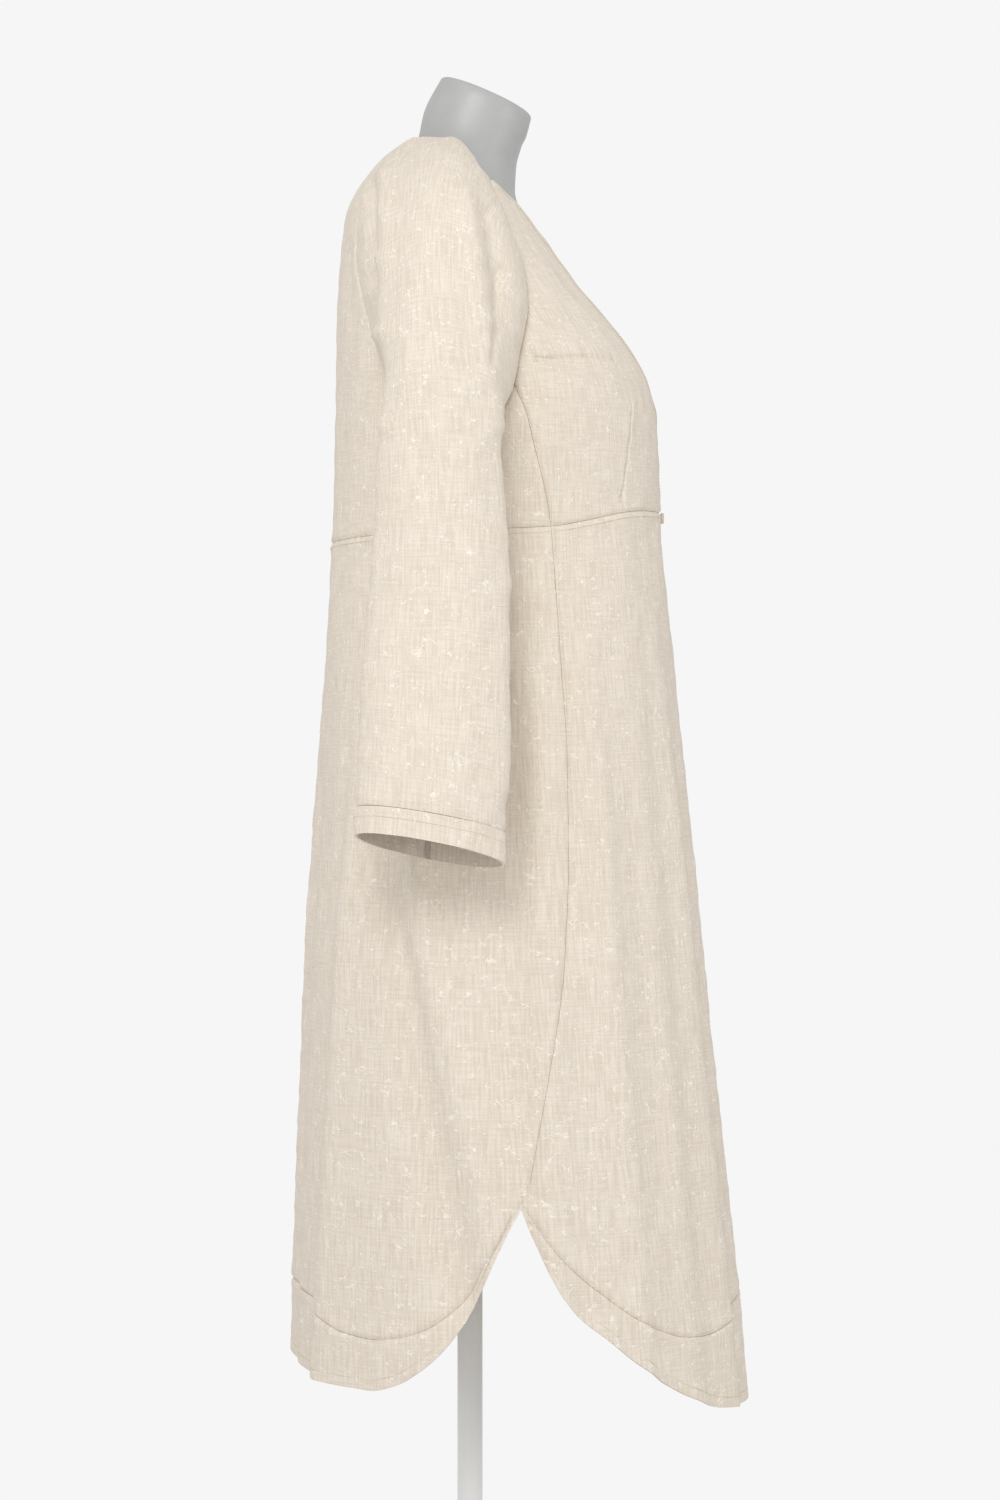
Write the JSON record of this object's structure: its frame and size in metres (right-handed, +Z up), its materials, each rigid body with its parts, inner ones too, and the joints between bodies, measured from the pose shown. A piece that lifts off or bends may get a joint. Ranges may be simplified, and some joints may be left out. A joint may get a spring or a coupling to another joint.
{
  "type": "duster coat on a dress form",
  "caption": "Long raglan-sleeved duster coat with a V neck, curved hem and side notches, worn by a headless dress form on a round-based pole stand.",
  "frame": {"origin": "on the floor, at the centre of the stand base's underside, on the pole's axis", "axes": "+Z up along the pole, -Y towards the coat's front, -X towards the wearer's right"},
  "size_m": [0.6548, 0.4664, 1.555],
  "materials": {
    "linen": "crinkled plain weave, matt, off-white",
    "form_skin": "smooth silver grey, satin",
    "white_paint": "white powder coat on steel, satin",
    "shell_button": "polished, pale beige"
  },
  "bodies": {
    "root": {"back_bodice": "linen", "front_bodice_right": "linen", "front_bodice_left": "linen", "back_skirt": "linen", "front_skirt_right": "linen", "front_skirt_left": "linen", "back_hem_band": "linen", "front_hem_band_right": "linen", "front_hem_band_left": "linen", "sleeve_right": "linen", "sleeve_left": "linen", "cuff_hem_right": "linen", "cuff_hem_left": "linen", "dress_form": "form_skin", "stand_pole": "white_paint", "stand_base": "white_paint", "button": "shell_button"}
  },
  "joints": []
}
